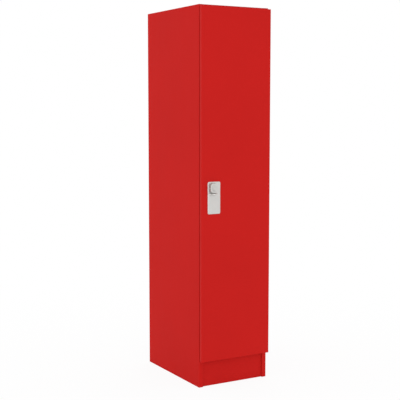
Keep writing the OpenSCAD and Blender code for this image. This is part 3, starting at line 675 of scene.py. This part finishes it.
def screw_tree():
    length = "NodeSocketFloat"
    tree, inputs = new_tree("cross_recess_screws", {
        "Head Diameter": (length, 7.6 * MM),
        "Head Height": (length, 2 * MM),
        "Dome": (length, 0.0),
        "Shank Diameter": (length, 4 * MM),
        "Length": (length, 16 * MM),
        "Neck": (length, 4 * MM),
        "Point": (length, 4 * MM),
        "Pitch": (length, 1.6 * MM),
        "Thread Depth": (length, 0.45 * MM),
        "Recess": (length, 4.2 * MM),
        "Seed": ("NodeSocketInt", 7),
        "Material": ("NodeSocketMaterial", None),
    })
    total = inputs["Length"]
    turns = maths(tree, "DIVIDE", total, inputs["Pitch"])
    rings = maths(tree, "MULTIPLY", turns, float(SCREW_RINGS_PER_TURN))
    rod = put(tree, "GeometryNodeMeshCylinder", {
        "Vertices": SCREW_SIDES, "Side Segments": rings,
        "Radius": 1.0, "Depth": total}, fill_type="NGON")
    # The rod's own z runs from half its length down to minus half; below counts down from the top
    place = put(tree, "GeometryNodeInputPosition").outputs[0]
    x, y, z = split(tree, place)
    below = maths(tree, "SUBTRACT", maths(tree, "MULTIPLY", total, 0.5), z)

    head = maths(tree, "MULTIPLY", inputs["Head Diameter"], 0.5)
    shank = maths(tree, "MULTIPLY", inputs["Shank Diameter"], 0.5)
    # Countersunk: straight in from the rim. Dome: a low rounded cap with a flat seat
    down = maths(tree, "DIVIDE", below, inputs["Head Height"])
    inward = maths(tree, "MULTIPLY", down, maths(tree, "SUBTRACT", shank, head))
    cone = maths(tree, "ADD", head, inward)
    up = maths(tree, "SUBTRACT", 1.0, down)
    rounding = maths(tree, "MULTIPLY", maths(tree, "MULTIPLY", up, up), DOME_SHARE)
    cap = maths(tree, "MULTIPLY", head,
                maths(tree, "SQRT", maths(tree, "SUBTRACT", 1.0, rounding)))
    head_line = mix(tree, inputs["Dome"], cone, cap)
    in_head = maths(tree, "LESS_THAN", below, inputs["Head Height"])

    # The thread: height plus the share of a turn, folded into a ridge
    angle = maths(tree, "DIVIDE", maths(tree, "ARCTAN2", y, x), math.tau)
    wound = maths(tree, "ADD", maths(tree, "DIVIDE", below, inputs["Pitch"]), angle)
    phase = maths(tree, "MULTIPLY", maths(tree, "FRACT", wound), 2.0)
    valley = maths(tree, "ABSOLUTE", maths(tree, "SUBTRACT", phase, 1.0))
    threaded = maths(tree, "GREATER_THAN", below, inputs["Neck"])
    depth = maths(tree, "MULTIPLY", valley, inputs["Thread Depth"])
    cut = maths(tree, "MULTIPLY", depth, threaded)
    left = maths(tree, "DIVIDE", maths(tree, "SUBTRACT", total, below), inputs["Point"])
    taper = maths(tree, "MINIMUM", 1.0, maths(tree, "ADD", POINT_SHARE, left))
    body_line = maths(tree, "MULTIPLY", maths(tree, "SUBTRACT", shank, cut), taper)
    radius = mix(tree, in_head, body_line, head_line)
    moved = put(tree, "ShaderNodeCombineXYZ", {
        "X": maths(tree, "MULTIPLY", x, radius),
        "Y": maths(tree, "MULTIPLY", y, radius),
        "Z": maths(tree, "MULTIPLY", below, -1.0)}).outputs[0]
    turned = put(tree, "GeometryNodeSetPosition",
                 {"Geometry": rod.outputs["Mesh"], "Position": moved}).outputs[0]

    # Two crossed blades cut the recess
    blade = maths(tree, "MULTIPLY", inputs["Recess"], BLADE_SHARE)
    size = put(tree, "ShaderNodeCombineXYZ", {
        "X": inputs["Recess"], "Y": blade, "Z": inputs["Head Height"]}).outputs[0]
    bar = put(tree, "GeometryNodeMeshCube", {"Size": size}).outputs["Mesh"]
    cross = put(tree, "GeometryNodeTransform",
                {"Geometry": bar, "Rotation": (0, 0, math.pi / 2)}).outputs[0]
    recess = put(tree, "GeometryNodeMeshBoolean", {"Mesh 1": turned},
                 operation="DIFFERENCE", solver="EXACT")
    tree.links.new(bar, recess.inputs["Mesh 2"])
    tree.links.new(cross, recess.inputs["Mesh 2"])
    place_copies(tree, inputs, recess.outputs["Mesh"])
    return tree


SCREW = screw_tree()
print(f"screw tree: {len(SCREW.nodes)} nodes")

# %% Screws of every group
X, Y = 0, 1


def head_places(node, along, head_side):
    """Head centre, outward direction and length of each screw that lies along X or Y.

    head_side takes the screw's middle and gives the sign of the direction its head faces.
    """
    found = []
    for low, high in islands(node):
        middle = (low + high) / 2
        outward = Vector((0, 0, 0))
        outward[along] = head_side(middle)
        middle[along] = high[along] if outward[along] > 0 else low[along]
        found.append((middle, outward, (high - low)[along]))
    return found


def to_front(middle):
    return -1


def to_back(middle):
    return 1


def to_right(middle):
    return 1


def to_inside(middle):
    return 1 if middle.x < 0 else -1


def drive_screws(node, body, along, head_side, **changes):
    found = head_places(node, along, head_side)
    values = {"Length": found[0][2], "Material": FINISHES[SLOTS[node]], **changes}
    places = [(place, outward) for place, outward, length in found]
    grow("driven_" + node, SCREW, places, values, body, [node])


drive_screws("frame_hinge_screws", "carcass", Y, to_front, Neck=8 * MM)
drive_screws("door_hinge_screws", "door", Y, to_back, Seed=3)
drive_screws("keeper_screws", "carcass", X, to_right, Seed=11)
drive_screws("rail_screws", "carcass", X, to_inside, Seed=5)
LOCK_HEAD = {"Head Diameter": 9 * MM, "Head Height": 2.4 * MM, "Dome": 1.0}
drive_screws("lock_screws", "door", Y, to_back, Seed=2, Neck=6 * MM, Point=1 * MM, **LOCK_HEAD)

# %% [markdown]
# ## Fluted dowels
# A factory dowel is a turned peg with straight flutes that let the glue out, and a chamfer at
# both ends. Again one cylinder and a formula: the radius dips at regular angles, and shrinks
# over the last millimetre at each end.

# %% Dowels
SIDES_PER_FLUTE = 4
DOWEL_RINGS = 28
END_SHARE = 0.8  # the radius at a dowel's very end as a share of the full one


def dowel_tree():
    length = "NodeSocketFloat"
    tree, inputs = new_tree("fluted_dowels", {
        "Diameter": (length, 8 * MM),
        "Length": (length, 34 * MM),
        "Chamfer": (length, 1.2 * MM),
        "Flutes": ("NodeSocketInt", 16),
        "Flute Depth": (length, 0.35 * MM),
        "Seed": ("NodeSocketInt", 4),
        "Material": ("NodeSocketMaterial", None),
    })
    sides = maths(tree, "MULTIPLY", inputs["Flutes"], float(SIDES_PER_FLUTE))
    peg = put(tree, "GeometryNodeMeshCylinder", {
        "Vertices": sides, "Side Segments": DOWEL_RINGS,
        "Radius": 1.0, "Depth": inputs["Length"]}, fill_type="NGON")
    place = put(tree, "GeometryNodeInputPosition").outputs[0]
    x, y, z = split(tree, place)
    around = maths(tree, "MULTIPLY", maths(tree, "ARCTAN2", y, x), inputs["Flutes"])
    dip = maths(tree, "MULTIPLY", maths(tree, "ADD", maths(tree, "COSINE", around), 1.0), 0.5)
    half = maths(tree, "MULTIPLY", inputs["Length"], 0.5)
    to_end = maths(tree, "SUBTRACT", half, maths(tree, "ABSOLUTE", z))
    ramp = maths(tree, "MINIMUM", 1.0, maths(tree, "DIVIDE", to_end, inputs["Chamfer"]))
    shrink = maths(tree, "ADD", END_SHARE, maths(tree, "MULTIPLY", ramp, 1 - END_SHARE))
    full = maths(tree, "MULTIPLY", inputs["Diameter"], 0.5)
    cut = maths(tree, "SUBTRACT", full, maths(tree, "MULTIPLY", dip, inputs["Flute Depth"]))
    radius = maths(tree, "MULTIPLY", cut, shrink)
    moved = put(tree, "ShaderNodeCombineXYZ", {
        "X": maths(tree, "MULTIPLY", x, radius),
        "Y": maths(tree, "MULTIPLY", y, radius),
        "Z": z}).outputs[0]
    turned = put(tree, "GeometryNodeSetPosition",
                 {"Geometry": peg.outputs["Mesh"], "Position": moved}).outputs[0]
    place_copies(tree, inputs, turned)
    return tree


pegs = [((low + high) / 2, Vector((1, 0, 0))) for low, high in islands("joint_dowels")]
grow("fluted_dowel_set", dowel_tree(), pegs, {"Material": FINISHES["beech"]},
     "carcass", ["joint_dowels"])

# %% [markdown]
# ## A white studio
# The locker stands in plain white, as in a catalogue. The floor is pale and catches a soft
# shadow; seen by the camera and in the metal it is mixed with white, most of the way near the
# locker and all the way a few steps off, so the shadow stays and there is no grey horizon.
# The world does the same: white to look at, and calmer as a light, so that the paint renders
# at the colour it was written in.

# %% Floor and world
WORLD_LIGHT = 0.86
FLOOR_GREY = 0.94
WHITENING_NEAR = 0.92
WHITENING_FROM = 0.5
WHITE_BEYOND = 2.6
FLOOR_SIZE = 60.0
FLOOR_DROP = 0.5 * MM  # keeps the floor from flickering with the edges that stand on it


def seen_directly(tree):
    """1 for rays from the camera and for reflected and refracted ones, 0 for the rest."""
    path = put(tree, "ShaderNodeLightPath").outputs
    seen = maths(tree, "MAXIMUM", path["Is Camera Ray"], path["Is Glossy Ray"])
    return maths(tree, "MAXIMUM", seen, path["Is Transmission Ray"])


def pale_floor():
    material = bpy.data.materials.new("pale_floor")
    material.use_nodes = True
    tree = material.node_tree
    tree.nodes.clear()
    grey = (FLOOR_GREY, FLOOR_GREY, FLOOR_GREY, 1.0)
    plain = put(tree, "ShaderNodeBsdfDiffuse", {"Color": grey})
    white = put(tree, "ShaderNodeEmission", {"Strength": 1.0})
    place = put(tree, "ShaderNodeTexCoord").outputs["Object"]
    away = put(tree, "ShaderNodeVectorMath", {0: place}, operation="LENGTH").outputs["Value"]
    whitening = spread(tree, away, WHITENING_NEAR, 1.0, WHITENING_FROM, WHITE_BEYOND)
    share = maths(tree, "MULTIPLY", seen_directly(tree), whitening)
    mixed = put(tree, "ShaderNodeMixShader", {0: share, 1: plain.outputs[0], 2: white.outputs[0]})
    put(tree, "ShaderNodeOutputMaterial", {"Surface": mixed.outputs[0]})
    return material


bpy.ops.mesh.primitive_plane_add(size=FLOOR_SIZE, location=(0, 0, -FLOOR_DROP))
floor = bpy.context.object
floor.name = "studio_floor"
paint(floor, pale_floor())
floor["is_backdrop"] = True

world = bpy.data.worlds.new("studio")
bpy.context.scene.world = world
world.use_nodes = True
sky = world.node_tree
sky.nodes.clear()
calm = put(sky, "ShaderNodeBackground", {"Color": (1, 1, 1, 1), "Strength": WORLD_LIGHT})
bright = put(sky, "ShaderNodeBackground", {"Color": (1, 1, 1, 1), "Strength": 1.0})
sky_mix = put(sky, "ShaderNodeMixShader",
              {0: seen_directly(sky), 1: calm.outputs[0], 2: bright.outputs[0]})
put(sky, "ShaderNodeOutputWorld", {"Surface": sky_mix.outputs[0]})
print(f"floor {FLOOR_SIZE:g} m wide, sky at {WORLD_LIGHT} of white as a light")

# %% [markdown]
# ## Lamps
# The sky gives most of the light, from all round, as in a white tent: that is what makes a
# catalogue picture so even. Three weak lamps add a little direction. Two stand level with the
# locker off the corner that faces the camera, one for the door and one for the side, so both
# faces come out alike and the plinth under the door isn't left dark. The third, from high
# behind, keeps the back from going flat. All three are very wide: a wide disk gives the same
# light at a lower brightness, so metal that mirrors one doesn't burn out to a white spot, and
# the edges of the shadows stay soft.

# %% Lamps
LAMP_WIDTH = 2.8
MIDDLE = (0, 0, CAD_BOX[1].z / 2)


def lamp(name, place, power):
    light = bpy.data.lights.new(name, "AREA")
    light.shape = "DISK"
    light.size = LAMP_WIDTH
    light.energy = power
    holder = bpy.data.objects.new(name, light)
    holder.location = place
    holder.rotation_euler = (Vector(MIDDLE) - Vector(place)).to_track_quat("-Z", "Y").to_euler()
    bpy.context.scene.collection.objects.link(holder)
    away = (Vector(MIDDLE) - Vector(place)).length
    print(f"{name}: {power} W, {LAMP_WIDTH} m wide, {away:.1f} m from the locker's middle")


lamp("door_lamp", place=(-1.3, -5.4, 1.45), power=42)
lamp("side_lamp", place=(-5.4, 0.3, 1.45), power=27)
lamp("back_lamp", place=(2.4, 3.4, 3.2), power=34)

# %% [markdown]
# ## Camera
# The picture was taken from about shoulder height, some four and a half metres off, looking
# about thirty degrees round from the door. It has upright verticals, which a shifted lens
# gives. A shift would push the locker out of every other view, so this camera stands a little
# lower and tilts down instead. Its place, turn, tilt and lens are the ones that bring the
# corners of the carcass, the door and the lock plate closest to where the picture has them.

# %% Camera
CAMERA_PLACE = (-2.291, -3.919, 1.323)
CAMERA_TURN = math.radians(29.71)
CAMERA_TILT = math.radians(5.71)
LENS_MM = 82.1
SENSOR_MM = 36.0

eye = bpy.data.cameras.new("camera")
eye.lens = LENS_MM
eye.sensor_width = SENSOR_MM
camera = bpy.data.objects.new("camera", eye)
camera.location = CAMERA_PLACE
camera.rotation_euler = (math.pi / 2 - CAMERA_TILT, 0, -CAMERA_TURN)
bpy.context.scene.collection.objects.link(camera)
bpy.context.scene.camera = camera
bpy.context.scene.view_settings.view_transform = "Standard"
distance = (Vector(CAMERA_PLACE) - Vector(MIDDLE)).length
print(f"camera {distance:.2f} m from the locker's middle, lens {LENS_MM} mm")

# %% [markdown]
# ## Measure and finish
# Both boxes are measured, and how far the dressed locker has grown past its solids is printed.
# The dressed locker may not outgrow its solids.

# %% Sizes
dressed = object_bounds()
growth = (dressed[1] - dressed[0]) - (CAD_BOX[1] - CAD_BOX[0])
print("grown by, in mm:", [round(part / MM, 2) for part in growth])
